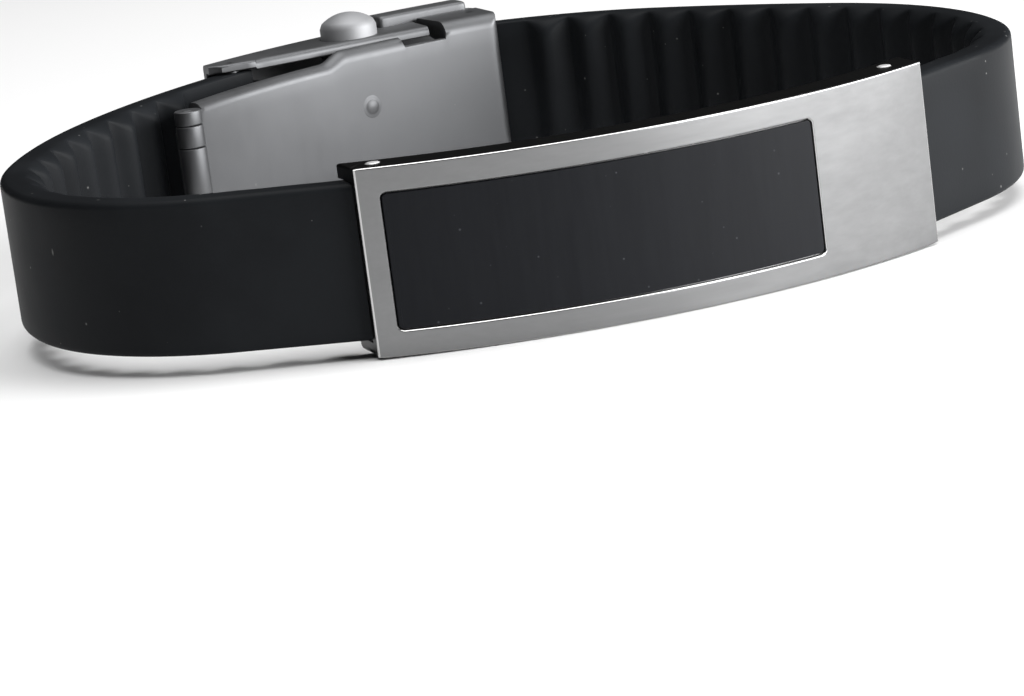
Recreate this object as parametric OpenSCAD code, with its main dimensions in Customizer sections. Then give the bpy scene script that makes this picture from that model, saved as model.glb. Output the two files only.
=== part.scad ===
// Rubber bracelet with a curved steel identity plate and a folding clasp.
// It lies on its edge. The plate faces -Y, the clasp is at +Y and +Z is up.

/* [Plate] */
// Height of the plate, across the bracelet
plate_h = 12; // [11.8:0.1:12.6]
// Radius of the curved front face
plate_r = 42.2; // [41:0.1:44]
// Thickness of the plate
plate_t = 2.8; // [2.4:0.1:3]
// Straight width from end to end
plate_w = 39; // [38:0.5:40]
// How far the front of the plate lies from the middle of the loop
plate_front = 30.3; // [30.2:0.1:30.4]
// Steel left in front of each strap end
plate_skin = 0.6; // [0.55:0.05:0.65]
// Length of strap held inside each end of the plate
strap_in = 4.7; // [4.5:0.1:4.9]
// Bevel along the front edges
plate_bevel = 0.12; // [0.05:0.01:0.2]

/* [Window] */
// Width of the black window
window_w = 28; // [20:0.5:30]
// Height of the black window
window_h = 8.75; // [6:0.25:9]
// Steel left of the window
window_margin = 1.3; // [1:0.1:5]
// Corner radius of the window
window_r = 0.4; // [0.2:0.1:1]
// Thickness of the inlay
inlay_t = 0.3; // [0.2:0.05:0.35]
// How far the inlay lies below the front of the plate
inlay_sink = 0.08; // [0.02:0.01:0.1]

/* [Strap] */
// Height of the rubber strap
strap_h = 10; // [9:0.1:10.2]
// Thickness of the strap between its ribs
strap_t = 1.9; // [1.6:0.1:2]
// Height of the ribs on the inner face
rib_h = 1.1; // [0.6:0.1:1.2]
// Distance from rib to rib along the outer face
rib_pitch = 3.7; // [3:0.1:5]
// Rounding of the outer edges
strap_edge = 0.45; // [0.2:0.05:0.6]
// Rounding of the inner edges
rib_edge = 0.25; // [0.1:0.05:0.4]

/* [Clasp] */
// Inner radius of the curved base
clasp_r = 41.8; // [41.6:0.1:42]
// Depth of the clasp from the base to the cover
clasp_d = 7.8; // [7.7:0.05:7.9]
// Sheet thickness of the cover
sheet = 0.6; // [0.5:0.1:0.7]
// Thickness of the base
base_t = 0.8; // [0.7:0.1:0.9]
// Height of the cover
cover_h = 11.5; // [11.3:0.1:11.7]
// Height of the shoulders beside the buttons
shoulder_h = 13.2; // [12.2:0.1:13.4]
// Diameter of each push button
button_d = 4.4; // [4:0.1:4.4]
// How far a button stands above the cover
button_rise = 1.9; // [1.2:0.1:2]
// Diameter of the cross pins
pin_d = 1; // [0.8:0.1:1]

/* [Hidden] */

$fn = 96;
gap = 0.1;
glue_gap = 0.03;
pin_gap = 0.02;
mid_z = plate_h / 2;

// Plate: its centre of curvature lies on the Y axis
plate_y = plate_r - plate_front;
plate_half_angle = asin(plate_w / 2 / plate_r);
window_x = window_margin - plate_w / 2 + window_w / 2;

// Each strap is a run of tangent arcs along its outer face.
// Columns: length, radius. A radius of 0 is a straight stretch.
left_run = [
    [strap_in, plate_r - plate_skin - gap],
    [0.7, 20],
    [8.3, 0],
    [17, 18],
    [13, 25],
    [15, 52],
    [18.5, 62],
    [3.2, 30]
];
right_run = [
    [strap_in, plate_r - plate_skin - gap],
    [1, 16],
    [6.5, 0],
    [13.5, 18],
    [23, 30],
    [16, 110],
    [17.2, 27]
];
// Plain stretch at each end of a strap that has no ribs. Columns: at the plate, at the clasp
plain_left = [strap_in + 0.7, 5];
plain_right = [strap_in + 0.7, 4.6];
rib_steps = 6;
edge_steps = 3;

// Clasp: every leaf is an arc about one centre. Bearings are read from +Y towards +X
clasp_c = [11.3, -11.3];
function bearing(x, r) = asin((x - clasp_c[0]) / r);
function clasp_point(r, a) = [clasp_c[0] + r * sin(a), clasp_c[1] + r * cos(a)];

// Base: a tongue, a wider part with side tabs, a bare stretch, then the ears.
// The tongue and the bare stretch are thinner by a hair, and run into the other parts
// by a small lap in degrees
tongue_from = -40.6;
tab_from = -19.6;
ear_to = 0.1;
leaf_lap = 0.3;
hair = 0.02;
tongue_h = 9.6;
tongue_bend = 0.8;
tab_h = 10.9;
tab_bend = 1;
tab_depth = 1.2;
bare_h = 9.5;
ear_bend = 1.15;
tab_to = -11.1;
ear_from = -6.1;
ear_depth = 5.2;
stud_r = 0.55;
stud_h = 0.35;
stud_bearing = -16.1;
stud_z = 6.8;

// Cover: a curved skin, side walls above and below, shoulders beside the buttons,
// a web that closes the strap socket, and an arm from the web to the knuckles
cover_r = clasp_r + clasp_d;
cover_mid = cover_r - sheet / 2;
cover_top = mid_z + cover_h / 2;
cover_left = -12.15;
cover_right = 13.4;
cover_corner = 2;
wall_t = 0.75;
wall_left = -8.6;
wall_right = 6;
wall_edge = [[wall_left, 30.1], [2.3, 31.3], [wall_right, 31.5]];
socket_edge = [[cover_left, 30.9], [-11.3, 30.2]];
shoulder_x = [3.3, 10.8];
shoulder_r = clasp_r + 5.4;
web_bearing = -25.1;
web_t = 0.8;
arm_r = clasp_r + 1.1;

// Knuckle marks along the hinge pin, from the bottom. The base carries every second barrel
knuckle_r = 1;
knuckle_play = 0.03;
hinge_d = 0.9;
knuckles = [1.5, 2.6, 4.25, 7.75, 9.4, 10.5];
knuckle_at = [clasp_r + 0.4, -42.5];
knuckle_xy = clasp_point(knuckle_at[0], knuckle_at[1]);
arm_z = [knuckles[1] + 2 * gap, knuckles[4] - 2 * gap];

// Push buttons: a stem in a bore of each side wall, a collar inside it and a domed head
button_xy = [0.2, 33.8];
button_gap = 0.05;
dome_h = 0.9;
dome_r = (button_d * button_d / 4 + dome_h * dome_h) / (2 * dome_h);
button_tip = cover_top + button_rise;
collar_d = button_d + 0.3;
collar_h = 0.6;
collar_z = cover_top - wall_t - gap - collar_h;

// Strap pins of the clasp, measured back from each strap end
left_pin_back = 1.2;
right_pin_back = 1.7;

// The bracelet lies on the front edge of its plate and on its lower push button
button_low = plate_h - button_tip;
rest_tilt = atan(-button_low / (button_xy[1] + plate_front));

// Point and heading after a stretch of length l and radius r
function after(p, l, r) = r == 0
    ? [p[0] + l * cos(p[2]), p[1] + l * sin(p[2]), p[2]]
    : let (a = p[2] + l / r * 180 / PI)
      [p[0] + r * (sin(a) - sin(p[2])), p[1] - r * (cos(a) - cos(p[2])), a];

// Start of a strap, at the bottom of its pocket
strap_r0 = plate_r - plate_skin - gap;
strap_a0 = plate_half_angle - strap_in / strap_r0 * 180 / PI;
strap_start = [strap_r0 * sin(strap_a0), plate_y - strap_r0 * cos(strap_a0), strap_a0];

// Point and heading at distance s along a run, for the +X side
function along(run, s, i = 0, p = strap_start) =
    s <= run[i][0] || i == len(run) - 1
    ? after(p, s, run[i][1])
    : along(run, s - run[i][0], i + 1, after(p, run[i][0], run[i][1]));

// The same point moved inwards by t. side is 1 on +X and -1 on -X
function strap_point(run, side, s, t) =
    let (p = along(run, s))
    [side * (p[0] - t * sin(p[2])), p[1] + t * cos(p[2])];

function run_length(run, i = 0) = i == len(run) ? 0 : run[i][0] + run_length(run, i + 1);

// Stations of a strap: ends, and rib_steps for each rib between the plain stretches
function rib_count(run, plain) =
    floor((run_length(run) - plain[0] - plain[1]) / rib_pitch);
function stations(run, plain) = concat(
    [0, plain[0] / 2],
    [for (i = [0 : rib_count(run, plain) * rib_steps]) plain[0] + i * rib_pitch / rib_steps],
    let (last = plain[0] + rib_count(run, plain) * rib_pitch, rest = run_length(run) - last)
    [for (i = [1 : 3]) last + rest * i / 3]
);

// Depth of the inner face at distance s: each rib is one round arc
rib_arc = (rib_pitch * rib_pitch / 4 + rib_h * rib_h) / (2 * rib_h);
function rib_depth(run, plain, s) =
    let (d = s - plain[0], n = rib_count(run, plain))
    d < 0 || d > n * rib_pitch ? strap_t
    : let (w = d - rib_pitch * (floor(d / rib_pitch) + 0.5))
      strap_t + max(0, sqrt(rib_arc * rib_arc - w * w) - rib_arc + rib_h);

// Cross section as [depth, height], rounded at the outer and inner edges
function section(d) = concat(
    [for (i = [0 : edge_steps]) let (a = 90 * i / edge_steps)
        [strap_edge * (1 - sin(a)), strap_edge * (1 - cos(a))]],
    [for (i = [0 : edge_steps]) let (a = 90 * i / edge_steps)
        [strap_edge * (1 - cos(a)), strap_h - strap_edge * (1 - sin(a))]],
    [[d - rib_edge, strap_h], [d, strap_h - rib_edge], [d, rib_edge], [d - rib_edge, 0]]
);

module strap(run, plain, side) {
    st = stations(run, plain);
    n = len(section(strap_t));
    last = len(st) - 1;
    points = [for (s = st) for (q = section(rib_depth(run, plain, s)))
        concat(strap_point(run, side, s, q[0]), mid_z - strap_h / 2 + q[1])];
    walls = [for (i = [0 : last - 1]) for (j = [0 : n - 1])
        let (a = i * n + j, b = i * n + (j + 1) % n)
        each [[a, b, a + n], [b, b + n, a + n]]];
    ends = concat(
        [for (j = [1 : n - 2]) [0, j + 1, j]],
        [for (j = [1 : n - 2]) [last * n, last * n + j, last * n + j + 1]]
    );
    all = concat(walls, ends);
    polyhedron(points, side > 0 ? all : [for (f = all) [f[2], f[1], f[0]]]);
}

// Places the finished bracelet on the ground with the middle of its box over the origin
reach_right = max([for (s = [0 : 0.25 : run_length(right_run)]) strap_point(right_run, 1, s, 0)[0]]);
reach_left = min([for (s = [0 : 0.25 : run_length(left_run)]) strap_point(left_run, -1, s, 0)[0]]);
back_y = clasp_c[1] + cover_r;
front_y = -plate_front;
drop = -front_y * sin(rest_tilt);
laid_front = front_y * cos(rest_tilt) - plate_h * sin(rest_tilt);
laid_back = back_y * cos(rest_tilt) - (mid_z - shoulder_h / 2) * sin(rest_tilt);

module laid()
    translate([-(reach_right + reach_left) / 2, -(laid_front + laid_back) / 2, drop])
    rotate([rest_tilt, 0, 0])
    children();

// Curved bar about the plate's own centre, of the plate's full height
module plate_arc(r_in, r_out, z0, z1)
    translate([0, plate_y, z0])
    linear_extrude(z1 - z0)
    intersection() {
        difference() {
            circle(r_out);
            circle(r_in);
        }
        translate([-plate_w / 2, -plate_r - 1]) square([plate_w, plate_r]);
    }

// Rounded rectangle that runs front to back through the plate
module window_prism(grow)
    translate([window_x, 0, mid_z])
    rotate([90, 0, 0])
    linear_extrude(2 * plate_front)
    rounded_rect(window_w + 2 * grow, window_h + 2 * grow, window_r + grow);

module rounded_rect(w, h, r) {
    square([w - 2 * r, h], center = true);
    square([w, h - 2 * r], center = true);
    for (x = [-1, 1], y = [-1, 1])
        translate([x * (w / 2 - r), y * (h / 2 - r)]) circle(r);
}

module upright_pin(at, d, z0, z1)
    translate([at[0], at[1], z0]) cylinder(d = d, h = z1 - z0);

// Each pocket is deeper than the strap it holds. Its pin passes through the middle of the
// strap's thickness, nearer to the end of the plate on the left than on the right
pocket_d = strap_in + 0.8;
function plate_pin_at(side) = side > 0
    ? strap_point(right_run, side, 3, strap_t / 2)
    : strap_point(left_run, side, 3.7, strap_t / 2);
function clasp_pin_at(run, side, back) =
    strap_point(run, side, run_length(run) - back, strap_t / 2);
left_pin = clasp_pin_at(left_run, -1, left_pin_back);
right_pin = clasp_pin_at(right_run, 1, right_pin_back);

module id_plate() color([0.72, 0.71, 0.69]) laid() difference() {
    plate_arc(plate_r - plate_t, plate_r, 0, plate_h);
    // Bevels along the top and bottom front edges
    for (z = [0, plate_h])
        translate([0, plate_y, z])
        rotate_extrude()
        translate([plate_r, 0])
        rotate(45)
        square(plate_bevel * sqrt(2), center = true);
    // Seat of the inlay
    intersection() {
        window_prism(0);
        plate_arc(plate_r - inlay_sink - inlay_t - glue_gap, plate_r + 1, 0, plate_h);
    }
    // Pockets for the strap ends, open at the end and at the back
    for (x = [plate_w / 2 - pocket_d, -plate_w / 2 - 1])
        intersection() {
            translate([0, plate_y, mid_z - strap_h / 2 - gap])
                cylinder(r = plate_r - plate_skin, h = strap_h + 2 * gap);
            translate([x, -plate_front - 1, 0]) cube([pocket_d + 1, plate_front, plate_h]);
        }
    for (x = [-1, 1]) upright_pin(plate_pin_at(x), pin_d + 2 * pin_gap, -1, plate_h + 1);
}

module window_inlay() color([0.10, 0.10, 0.11]) laid() intersection() {
    window_prism(-gap);
    plate_arc(plate_r - inlay_sink - inlay_t, plate_r - inlay_sink, 0, plate_h);
}

module strap_left() color([0.13, 0.13, 0.14]) laid() difference() {
    strap(left_run, plain_left, -1);
    for (at = [plate_pin_at(-1), left_pin]) upright_pin(at, pin_d + 2 * pin_gap, 0, plate_h);
}

module strap_right() color([0.16, 0.16, 0.17]) laid() difference() {
    strap(right_run, plain_right, 1);
    for (at = [plate_pin_at(1), right_pin]) upright_pin(at, pin_d + 2 * pin_gap, 0, plate_h);
}

module plate_pin(side) laid() upright_pin(plate_pin_at(side), pin_d, 0, plate_h);
module plate_pin_left() color([0.85, 0.85, 0.85]) plate_pin(-1);
module plate_pin_right() color([0.85, 0.85, 0.85]) plate_pin(1);

// Turns a profile of [radius, height] about the clasp's centre between two bearings
module clasp_sweep(from, to)
    translate([clasp_c[0], clasp_c[1], 0])
    rotate([0, 0, 90 - to])
    rotate_extrude(angle = to - from)
    children();

module clasp_bar(r0, r1, z0, z1, from, to)
    clasp_sweep(from, to) translate([r0, z0]) square([r1 - r0, z1 - z0]);

// Channel in bent sheet of thickness t: h is its full height, depth that of its flanges
module bent_leaf(r, t, h, depth, bend, from, to)
    clasp_sweep(from, to) translate([r, mid_z]) difference() {
        intersection() {
            translate([0, -h / 2]) square([depth, h]);
            union() {
                translate([bend, -h / 2]) square([depth, h]);
                translate([0, bend - h / 2]) square([depth, h - 2 * bend]);
                for (z = [-1, 1]) translate([bend, z * (h / 2 - bend)]) circle(bend);
            }
        }
        translate([t, t - h / 2]) square([depth, h - 2 * t]);
    }

// Barrels between two knuckle marks, with i = 0 for the base and 1 for the cover
module barrels(i, r, play)
    for (k = [i : 2 : len(knuckles) - 2])
        upright_pin(knuckle_xy, 2 * r, knuckles[k] + play, knuckles[k + 1] - play);

// Tongue of the base. Its flanges stop short of the knuckles
module tongue() difference() {
    bent_leaf(clasp_r + hair, base_t - 2 * hair, tongue_h, tab_depth, tongue_bend,
        knuckle_at[1] - leaf_lap, tab_from + leaf_lap);
    for (z = [-1, knuckles[5] - 2 * gap])
        clasp_bar(clasp_r - 1, clasp_r + ear_depth, z, z + 1 + knuckles[0] + 2 * gap,
            knuckle_at[1] - 1, tongue_from);
}

// Tabs, bare stretch and ears. The ears are as high as the plate
module wide_leaf() {
    bent_leaf(clasp_r, base_t, tab_h, tab_depth, tab_bend, tab_from, tab_to);
    clasp_bar(clasp_r + hair, clasp_r + base_t - hair, mid_z - bare_h / 2, mid_z + bare_h / 2,
        tab_to - leaf_lap, ear_from + leaf_lap);
    bent_leaf(clasp_r, base_t, plate_h, ear_depth, ear_bend, ear_from, ear_to);
}

module clasp_base() color([0.66, 0.67, 0.68]) laid() difference() {
    union() {
        tongue();
        wide_leaf();
        barrels(0, knuckle_r, knuckle_play);
        translate(concat(clasp_point(clasp_r + stud_r - stud_h, stud_bearing), stud_z))
            sphere(stud_r);
    }
    barrels(1, knuckle_r + gap, -knuckle_play);
    upright_pin(knuckle_xy, hinge_d + 2 * pin_gap, 0, plate_h);
    upright_pin(right_pin, pin_d + 2 * pin_gap, -1, plate_h + 1);
}

// Outline of the cover's skin seen from outside, with rounder corners at its +X end
module cover_outline()
    translate([0, clasp_c[1] + cover_r + 1, mid_z])
    rotate([90, 0, 0])
    linear_extrude(cover_r / 2) {
        translate([cover_left, -cover_h / 2])
            square([cover_right - cover_left - cover_corner, cover_h]);
        translate([cover_left, cover_corner - cover_h / 2])
            square([cover_right - cover_left, cover_h - 2 * cover_corner]);
        for (z = [-1, 1])
            translate([cover_right - cover_corner, z * (cover_h / 2 - cover_corner)])
                circle(cover_corner);
    }

// Flat piece from an inner edge, given as points from -X to +X, out to the cover's skin
module to_skin(edge, z0, z1)
    translate([0, 0, z0]) linear_extrude(z1 - z0) intersection() {
        translate(clasp_c) circle(cover_mid);
        polygon(concat(edge, [[edge[len(edge) - 1][0], back_y], [edge[0][0], back_y]]));
    }

// Side wall, shoulder and socket lip of the upper side
module cover_side() {
    to_skin(wall_edge, cover_top - wall_t, cover_top);
    to_skin(concat(socket_edge, [wall_edge[0]]), cover_top - sheet, cover_top);
    clasp_bar(shoulder_r, cover_r - hair, cover_top - sheet, mid_z + shoulder_h / 2,
        bearing(shoulder_x[0], shoulder_r), bearing(shoulder_x[1], shoulder_r));
}

module clasp_cover() color([0.60, 0.61, 0.62]) laid() difference() {
    union() {
        intersection() {
            clasp_bar(cover_r - sheet, cover_r, 0, plate_h, tongue_from, ear_to + 5);
            cover_outline();
        }
        cover_side();
        translate([0, 0, plate_h]) mirror([0, 0, 1]) cover_side();
        clasp_bar(cover_r - 3.4, cover_mid, plate_h - cover_top, cover_top,
            web_bearing, web_bearing + web_t);
        clasp_bar(arm_r, cover_mid, arm_z[0], arm_z[1], web_bearing, web_bearing + web_t);
        clasp_bar(arm_r, arm_r + sheet, arm_z[0], arm_z[1], knuckle_at[1] - leaf_lap,
            web_bearing + web_t);
        barrels(1, knuckle_r, knuckle_play);
    }
    barrels(0, knuckle_r + gap, -knuckle_play);
    upright_pin(knuckle_xy, hinge_d + 2 * pin_gap, 0, plate_h);
    upright_pin(left_pin, pin_d + 2 * pin_gap, -1, plate_h + 1);
    upright_pin(button_xy, button_d + 2 * button_gap, -1, plate_h + 1);
}

module clasp_hinge_pin() color([0.8, 0.8, 0.8]) laid()
    upright_pin(knuckle_xy, hinge_d, knuckles[0], knuckles[5]);

module clasp_pin_left() color([0.8, 0.8, 0.8]) laid()
    upright_pin(left_pin, pin_d, plate_h - cover_top, cover_top);

module clasp_pin_right() color([0.8, 0.8, 0.8]) laid()
    upright_pin(right_pin, pin_d, 0, plate_h);

module push_button() {
    upright_pin(button_xy, collar_d, collar_z, collar_z + collar_h);
    upright_pin(button_xy, button_d, collar_z, button_tip - dome_h);
    intersection() {
        upright_pin(button_xy, button_d, collar_z, button_tip + 1);
        translate([button_xy[0], button_xy[1], button_tip - dome_r]) sphere(dome_r);
    }
}

module push_button_top() color([0.7, 0.7, 0.71]) laid() push_button();
module push_button_bottom() color([0.7, 0.7, 0.71]) laid()
    translate([0, 0, plate_h]) mirror([0, 0, 1]) push_button();

id_plate();
window_inlay();
strap_left();
strap_right();
plate_pin_left();
plate_pin_right();
clasp_base();
clasp_cover();
clasp_hinge_pin();
clasp_pin_left();
clasp_pin_right();
push_button_top();
push_button_bottom();
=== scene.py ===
import math
import bmesh
import bpy
from mathutils import Matrix, Vector


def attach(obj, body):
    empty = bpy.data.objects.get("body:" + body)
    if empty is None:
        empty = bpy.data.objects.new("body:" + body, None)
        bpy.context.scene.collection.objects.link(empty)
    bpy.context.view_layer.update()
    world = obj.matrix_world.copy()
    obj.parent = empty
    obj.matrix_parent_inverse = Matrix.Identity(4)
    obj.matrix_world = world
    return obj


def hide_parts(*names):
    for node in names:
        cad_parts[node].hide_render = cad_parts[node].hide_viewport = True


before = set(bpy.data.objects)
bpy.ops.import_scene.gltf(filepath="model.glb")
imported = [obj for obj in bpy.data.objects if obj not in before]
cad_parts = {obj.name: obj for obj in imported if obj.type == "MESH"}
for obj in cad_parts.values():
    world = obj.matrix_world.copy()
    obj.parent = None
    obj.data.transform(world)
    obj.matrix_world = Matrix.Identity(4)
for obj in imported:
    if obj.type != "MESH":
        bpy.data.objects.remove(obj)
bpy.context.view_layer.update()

mm = 0.001
scene = bpy.context.scene
print("frame loaded:", len(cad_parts), "solids")

# the pieces are modelled with the bracelet standing upright and the plate at -Y, and then laid
# down on the plate's lower edge and the lower push button
lean = {"turn": 1.4745267, "shift": (0.70473, -3.852, 0.77969)}  # degrees about X, then mm
layDown = (Matrix.Translation(Vector(lean["shift"]) * mm)
           @ Matrix.Rotation(math.radians(lean["turn"]), 4, "X"))

# camera: the photograph's viewpoint
shot = {"place": (-0.0861429, -0.2466244, 0.0451393), "turn": (78.5777, 7.8063, -20.8718),
        "lens": 131.61, "sensor": 36.0, "clip": (0.01, 20.0)}  # metres, degrees, mm, mm, metres
cameraData = bpy.data.cameras.new("camera")
cameraData.lens = shot["lens"]
cameraData.sensor_width = shot["sensor"]
cameraData.clip_start, cameraData.clip_end = shot["clip"]
camera = bpy.data.objects.new("camera", cameraData)
camera.location = shot["place"]
camera.rotation_euler = [math.radians(a) for a in shot["turn"]]
scene.collection.objects.link(camera)
scene.camera = camera


# small modelling helpers
merge = {"last": 0.0000005, "turned": 0.000001, "swept": 0.000002}  # doubles within this, in metres
sharpFold, softFold = 40, 32   # degrees: folds above these are bevelled, and stay sharp when shaded


def deselectAll():
    bpy.ops.object.select_all(action="DESELECT")


def makeActive(piece):
    deselectAll()
    piece.select_set(True)
    bpy.context.view_layer.objects.active = piece


def openEdit(piece, kind="VERT"):
    makeActive(piece)
    bpy.ops.object.mode_set(mode="EDIT")
    bpy.ops.mesh.select_mode(type=kind)
    bpy.ops.mesh.select_all(action="SELECT")


def closeEdit():
    bpy.ops.object.mode_set(mode="OBJECT")


def applyTransform(piece):
    makeActive(piece)
    bpy.ops.object.transform_apply(location=True, rotation=True, scale=True)


def combine(piece, tool, operation):
    # boolean with another mesh, which is then thrown away
    modifier = piece.modifiers.new("cut", "BOOLEAN")
    modifier.operation = operation
    modifier.solver = "EXACT"
    modifier.object = tool
    makeActive(piece)
    bpy.ops.object.modifier_apply(modifier=modifier.name)
    bpy.data.objects.remove(tool)


def bevelEdges(piece, wanted, width, segments):
    # the edges are selected in code, by their place or fold
    openEdit(piece, "EDGE")
    bpy.ops.mesh.select_all(action="DESELECT")
    shape = bmesh.from_edit_mesh(piece.data)
    shape.normal_update()
    for edge in shape.edges:
        edge.select = wanted(edge)
    bmesh.update_edit_mesh(piece.data)
    bpy.ops.mesh.bevel(offset=width * mm, segments=segments, profile=0.5, affect="EDGES",
                       clamp_overlap=False)
    closeEdit()


def isSharp(edge):
    return math.degrees(edge.calc_face_angle(0.0)) > sharpFold


def runsBack(edge):
    # longer than 1 mm from front to back
    return abs((edge.verts[0].co - edge.verts[1].co).y) > mm


def faceOutwards():
    bpy.ops.mesh.select_all(action="SELECT")
    bpy.ops.mesh.normals_make_consistent(inside=False)


def spunSlab(name, side, inner, outer, low, high, start, sweep, steps):
    # an upright rectangle on one side of the centre in Y, spun clockwise from its start in degrees
    deselectAll()
    bpy.ops.mesh.primitive_plane_add(size=1, rotation=(0, math.pi / 2, 0))
    slab = bpy.context.object
    slab.name = name
    applyTransform(slab)
    slab.scale = (1, (outer - inner) * mm, (high - low) * mm)
    slab.location = (0, side * (outer + inner) / 2 * mm, (low + high) / 2 * mm)
    applyTransform(slab)
    slab.rotation_euler.z = math.radians(start)
    applyTransform(slab)
    openEdit(slab)
    bpy.ops.mesh.spin(steps=steps, angle=math.radians(sweep), center=(0, 0, 0), axis=(0, 0, 1))
    faceOutwards()
    closeEdit()
    return slab


def sweepRings(name, rings, place):
    # a flat grid rolled round each section in turn; place gives a point from (station, u, z)
    around = len(rings[0][1])
    deselectAll()
    bpy.ops.mesh.primitive_grid_add(x_subdivisions=len(rings) - 1, y_subdivisions=around, size=1)
    body = bpy.context.object
    body.name = name
    for i, (station, ring) in enumerate(rings):
        for j in range(around + 1):
            body.data.vertices[j * len(rings) + i].co = place(station, *ring[j % around])
    openEdit(body)
    bpy.ops.mesh.remove_doubles(threshold=merge["swept"])
    bpy.ops.mesh.dissolve_degenerate(threshold=merge["swept"])
    bpy.ops.mesh.select_all(action="DESELECT")
    bpy.ops.mesh.select_non_manifold()
    bpy.ops.mesh.fill_holes(sides=0)
    faceOutwards()
    closeEdit()
    return body


def roundRod(name, x, y, radius, low, high, sides=40):
    deselectAll()
    bpy.ops.mesh.primitive_cylinder_add(vertices=sides, radius=radius * mm, depth=(high - low) * mm,
                                        location=(x * mm, y * mm, (low + high) / 2 * mm))
    rod = bpy.context.object
    rod.name = name
    applyTransform(rod)
    return rod


def putDown(piece, node, body, slotName, finish, smooth=softFold):
    # into the shared frame in place of its plain solid, with its finish and the body it rides on
    piece.data.name = piece.name
    piece.data.transform(layDown)
    openEdit(piece)
    bpy.ops.mesh.remove_doubles(threshold=merge["last"])
    faceOutwards()
    closeEdit()
    bpy.ops.object.shade_smooth_by_angle(angle=math.radians(smooth))
    piece.data.materials.clear()
    piece.data.materials.append(finishes[finish])
    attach(piece, body)
    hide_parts(node)
    print(piece.name, "ready:", len(piece.data.polygons), "faces")


# finishes
effects = {
    "grain": {"detail": 4.0, "roughness": 0.65, "broadScale": 0.21, "broadDetail": 2.0,
              "shares": (0.6, 0.4), "band": (0.2, 0.8)},   # shares of the fine and broad noise
    "specks": {"least": 0.5, "spread": 0.8, "rough": 0.2, "metalRelief": 1.5,
               "rubberRelief": 2.0},
    "patches": {"detail": 3.0, "band": (0.3, 0.7)},
    "middle": 0.5,                                         # a noise's middle value
}


def makeGroup(name, numbers, result):
    # a group with a vector and some numbers in, and one mask out
    group = bpy.data.node_groups.new(name, "ShaderNodeTree")
    group.interface.new_socket(name="Vector", in_out="INPUT", socket_type="NodeSocketVector")
    for label, value in numbers.items():
        socket = group.interface.new_socket(name=label, in_out="INPUT",
                                            socket_type="NodeSocketFloat")
        socket.default_value = value
    group.interface.new_socket(name=result, in_out="OUTPUT", socket_type="NodeSocketFloat")
    return group, group.nodes.new("NodeGroupInput"), group.nodes.new("NodeGroupOutput")


def addNode(tree, kind, **settings):
    node = tree.nodes.new(kind)
    for key, value in settings.items():
        setattr(node, key, value)
    return node


def mathNode(tree, operation, first, second=None, third=None, clamp=False):
    node = addNode(tree, "ShaderNodeMath", operation=operation, use_clamp=clamp)
    for i, value in enumerate((first, second, third)):
        if value is None:
            continue
        if isinstance(value, (int, float)):
            node.inputs[i].default_value = value
        else:
            tree.links.new(value, node.inputs[i])
    return node.outputs[0]


def rampNode(tree, value, band, toLow=0.0, toHigh=1.0):
    # a smooth change from toLow to toHigh across the band
    node = addNode(tree, "ShaderNodeMapRange", interpolation_type="SMOOTHSTEP")
    for label, number in (("From Min", band[0]), ("From Max", band[1]),
                          ("To Min", toLow), ("To Max", toHigh)):
        node.inputs[label].default_value = number
    tree.links.new(value, node.inputs["Value"])
    return node.outputs["Result"]


def mixColour(tree, factor, first, second):
    node = addNode(tree, "ShaderNodeMix", data_type="RGBA")
    for label, value in (("Factor", factor), ("A", first), ("B", second)):
        socket = next(s for s in node.inputs if s.name == label
                      and s.type == ("VALUE" if label == "Factor" else "RGBA"))
        if isinstance(value, tuple):
            socket.default_value = (*value, 1.0)
        else:
            tree.links.new(value, socket)
    return next(s for s in node.outputs if s.type == "RGBA")


def grainGroup():
    # two noises on stretched coordinates: long fine strokes, some deeper than others
    look, middle = effects["grain"], effects["middle"]
    group, start, end = makeGroup("brushedGrain", {"Contrast": 1.0}, "Grain")
    fine = addNode(group, "ShaderNodeTexNoise")
    fine.inputs["Scale"].default_value = 1.0
    fine.inputs["Detail"].default_value = look["detail"]
    fine.inputs["Roughness"].default_value = look["roughness"]
    broad = addNode(group, "ShaderNodeTexNoise")
    broad.inputs["Scale"].default_value = look["broadScale"]
    broad.inputs["Detail"].default_value = look["broadDetail"]
    for noise in (fine, broad):
        group.links.new(start.outputs["Vector"], noise.inputs["Vector"])
    both = mathNode(group, "MULTIPLY_ADD", broad.outputs["Fac"], look["shares"][1],
                    mathNode(group, "MULTIPLY", fine.outputs["Fac"], look["shares"][0]))
    spread = mathNode(group, "MULTIPLY", mathNode(group, "SUBTRACT", both, middle),
                      start.outputs["Contrast"])
    group.links.new(mathNode(group, "ADD", spread, middle, clamp=True), end.inputs["Grain"])
    return group


def speckGroup():
    # scattered tiny specks of dust: a few cells keep a dot near their middle
    look = effects["specks"]
    group, start, end = makeGroup("dustSpecks", {"Scale": 900.0, "Share": 0.12, "Size": 0.16},
                                  "Mask")
    cells = addNode(group, "ShaderNodeTexVoronoi", feature="F1")
    group.links.new(start.outputs["Vector"], cells.inputs["Vector"])
    group.links.new(start.outputs["Scale"], cells.inputs["Scale"])
    pick = addNode(group, "ShaderNodeSeparateColor")
    group.links.new(cells.outputs["Color"], pick.inputs["Color"])
    kept = mathNode(group, "LESS_THAN", pick.outputs["Red"], start.outputs["Share"])
    reach = mathNode(group, "MULTIPLY", start.outputs["Size"],
                     mathNode(group, "MULTIPLY_ADD", pick.outputs["Green"],
                              look["spread"], look["least"]))
    dot = mathNode(group, "SUBTRACT", 1.0, mathNode(group, "DIVIDE",
                   cells.outputs["Distance"], reach), clamp=True)
    group.links.new(mathNode(group, "MULTIPLY", dot, kept, clamp=True), end.inputs["Mask"])
    return group


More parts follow.
